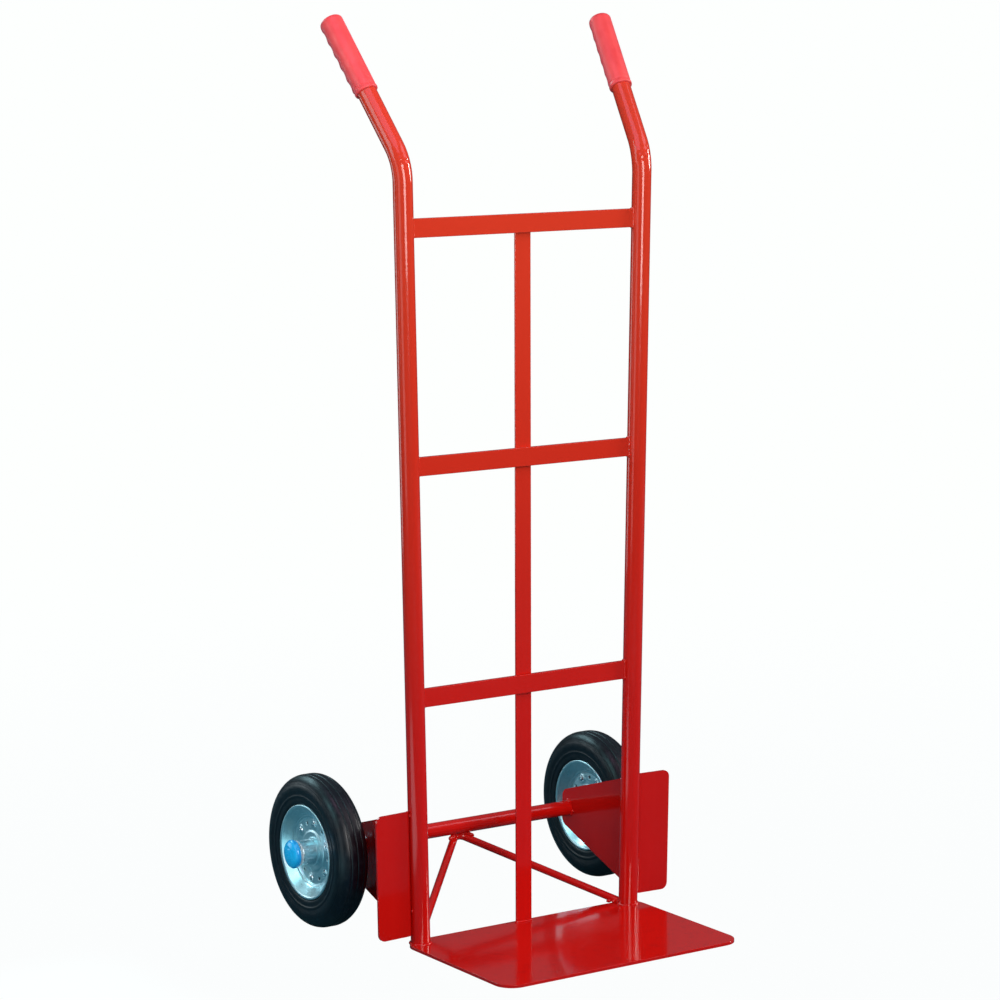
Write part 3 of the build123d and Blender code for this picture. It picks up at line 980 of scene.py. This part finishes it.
def add_camera():
    yaw, pitch, roll = CAMERA_YAW, CAMERA_PITCH, CAMERA_ROLL
    ahead = Vector((-sin(yaw) * cos(pitch), cos(yaw) * cos(pitch), sin(pitch)))
    right = Vector((cos(yaw), sin(yaw), 0))
    up = right.cross(ahead)
    right, up = right * cos(roll) + up * sin(roll), up * cos(roll) - right * sin(roll)
    data = bpy.data.cameras.new("camera")
    data.lens = CAMERA_LENS
    data.sensor_width = CAMERA_SENSOR
    data.clip_start = 0.1
    data.clip_end = 60
    camera = bpy.data.objects.new("camera", data)
    camera.matrix_world = Matrix.Translation(CAMERA_PLACE) @ Matrix((right, up, -ahead)).transposed().to_4x4()
    bpy.context.collection.objects.link(camera)
    bpy.context.scene.camera = camera


def add_softbox(name, direction, distance, size, power, colour=(1, 1, 1), target=(0, 0, 0.55)):
    """A rectangular light of the given size and watts that faces a target from a direction and distance."""
    target = Vector(target)
    place = target + Vector(direction).normalized() * distance
    data = bpy.data.lights.new(name, "AREA")
    data.shape = "RECTANGLE"
    data.size, data.size_y = size
    data.energy = power
    data.color = colour
    light = bpy.data.objects.new(name, data)
    facing = (place - target).to_track_quat("Z", "Y").to_matrix().to_4x4()
    light.matrix_world = Matrix.Translation(place) @ facing
    bpy.context.collection.objects.link(light)


def add_world():
    """White behind the object, and a dim cool room for everything that the object reflects."""
    world = bpy.data.worlds.new("studio")
    world.use_nodes = True
    nodes, links = world.node_tree.nodes, world.node_tree.links
    white = nodes["Background"]
    white.inputs["Color"].default_value = BACKDROP
    white.inputs["Strength"].default_value = 1.0
    room = nodes.new("ShaderNodeBackground")
    up = nodes.new("ShaderNodeSeparateXYZ")
    links.new(nodes.new("ShaderNodeTexCoord").outputs["Generated"], up.inputs["Vector"])
    fade = nodes.new("ShaderNodeMapRange")
    for key, value in (("From Min", 0.0), ("From Max", 0.9), ("To Min", 0.05), ("To Max", 0.30)):
        fade.inputs[key].default_value = value
    links.new(up.outputs["Z"], fade.inputs["Value"])
    links.new(fade.outputs["Result"], room.inputs["Strength"])
    room.inputs["Color"].default_value = (0.72, 0.90, 1.0, 1)
    mix = nodes.new("ShaderNodeMixShader")
    links.new(nodes.new("ShaderNodeLightPath").outputs["Is Camera Ray"], mix.inputs["Fac"])
    links.new(room.outputs["Background"], mix.inputs[1])
    links.new(white.outputs["Background"], mix.inputs[2])
    links.new(mix.outputs["Shader"], nodes["World Output"].inputs["Surface"])
    bpy.context.scene.world = world


def floor_sheen(m):
    """What the object sees of the floor: a lit patch to its left, and dim floor elsewhere."""
    x, y = m.axis("X"), m.axis("Y")
    lit = m.maths("MULTIPLY", m.ramp(y, *LIT_FRONT), m.ramp(y, *LIT_BACK))
    lit = m.maths("MULTIPLY", lit, m.maths("MULTIPLY", m.ramp(x, *LIT_LEFT), m.ramp(x, *LIT_RIGHT)))
    links = {"Color": rgb(0.45, 0.90, 1.0), "Strength": SWEEP_GLOW}
    sweep_glow = m.add("ShaderNodeEmission", {}, links)
    links = {"Fac": lit, 1: m.main.outputs["BSDF"], 2: sweep_glow.outputs["Emission"]}
    return m.add("ShaderNodeMixShader", {}, links).outputs["Shader"]


def add_floor():
    """Plain pale floor that takes only a faint shadow and fades into the backdrop."""
    half = FLOOR_HALF
    mesh = bpy.data.meshes.new("floor")
    corners = [(-half, -half, 0), (half, -half, 0), (half, half, 0), (-half, half, 0)]
    mesh.from_pydata(corners, [], [(0, 1, 2, 3)])
    floor = bpy.data.objects.new("floor", mesh)
    bpy.context.collection.objects.link(floor)
    m = Shader("floor_pale", Roughness=0.9, Specular_IOR_Level=0.0)
    m.done(m.mix(m.noise(1.2, 3.0), rgb(0.045, 0.13, 0.165), rgb(0.055, 0.15, 0.185)))
    away = m.add("ShaderNodeVectorMath", {"operation": "LENGTH"}, {0: m.place}).outputs["Value"]
    far = m.ramp(away, 0.5, 3.5)
    glow = m.add("ShaderNodeEmission", {}, {"Color": m.mix(far, FLOOR_NEAR, BACKDROP), "Strength": 1.0})
    seen = m.add("ShaderNodeLightPath", {}, {}).outputs["Is Camera Ray"]
    share = m.maths("MULTIPLY", seen, m.ramp(away, 0.3, 2.5, 0.98, 1.0))
    mix = m.add("ShaderNodeMixShader", {}, {"Fac": share, 1: floor_sheen(m), 2: glow.outputs["Emission"]})
    m.tree.links.new(mix.outputs["Shader"], m.tree.nodes["Material Output"].inputs["Surface"])
    mesh.materials.append(m.material)


def add_lights():
    add_softbox("front", (-0.25, -1.0, 0.30), 2.6, (0.9, 1.4), 46, (1.0, 0.99, 0.97))
    add_softbox("side", (0.94, -0.34, 0.29), 4.0, (1.0, 1.2), 85, (1.0, 0.98, 0.95))
    add_softbox("left", (-1.0, -0.25, 0.10), 3.0, (1.2, 1.6), 9)
    add_softbox("high_right", (0.555, -0.42, 0.717), 2.6, (1.3, 0.9), 9, (1.0, 0.80, 0.95))
    add_softbox("handle_glow", (-0.50, -0.40, 0.75), 0.8, (0.8, 0.6), 3.6, (1.0, 0.55, 0.85), (0, 0.05, 1.1))
    add_softbox("left_strip", (-0.95, 0.31, 0.25), 2.4, (0.2, 1.6), 1.6, (0.9, 0.95, 1.0))
    add_softbox("back_panel", (-0.25, 0.82, 0.52), 3.0, (1.4, 0.8), 32, (0.55, 0.92, 1.0))
    add_softbox("rim_glow", (-0.776, 0.04, 0.63), 2.6, (1.0, 1.0), 12, (0.38, 0.94, 1.0), (-0.22, 0.14, 0.1))
    add_softbox("low_back", (-0.60, 0.80, -0.05), 2.4, (0.9, 0.7), 5.0, (0.80, 0.95, 1.0))


refinish_cad()
build_frame()
build_wheels()
add_camera()
add_world()
add_floor()
add_lights()
bpy.context.scene.view_settings.view_transform = "Standard"
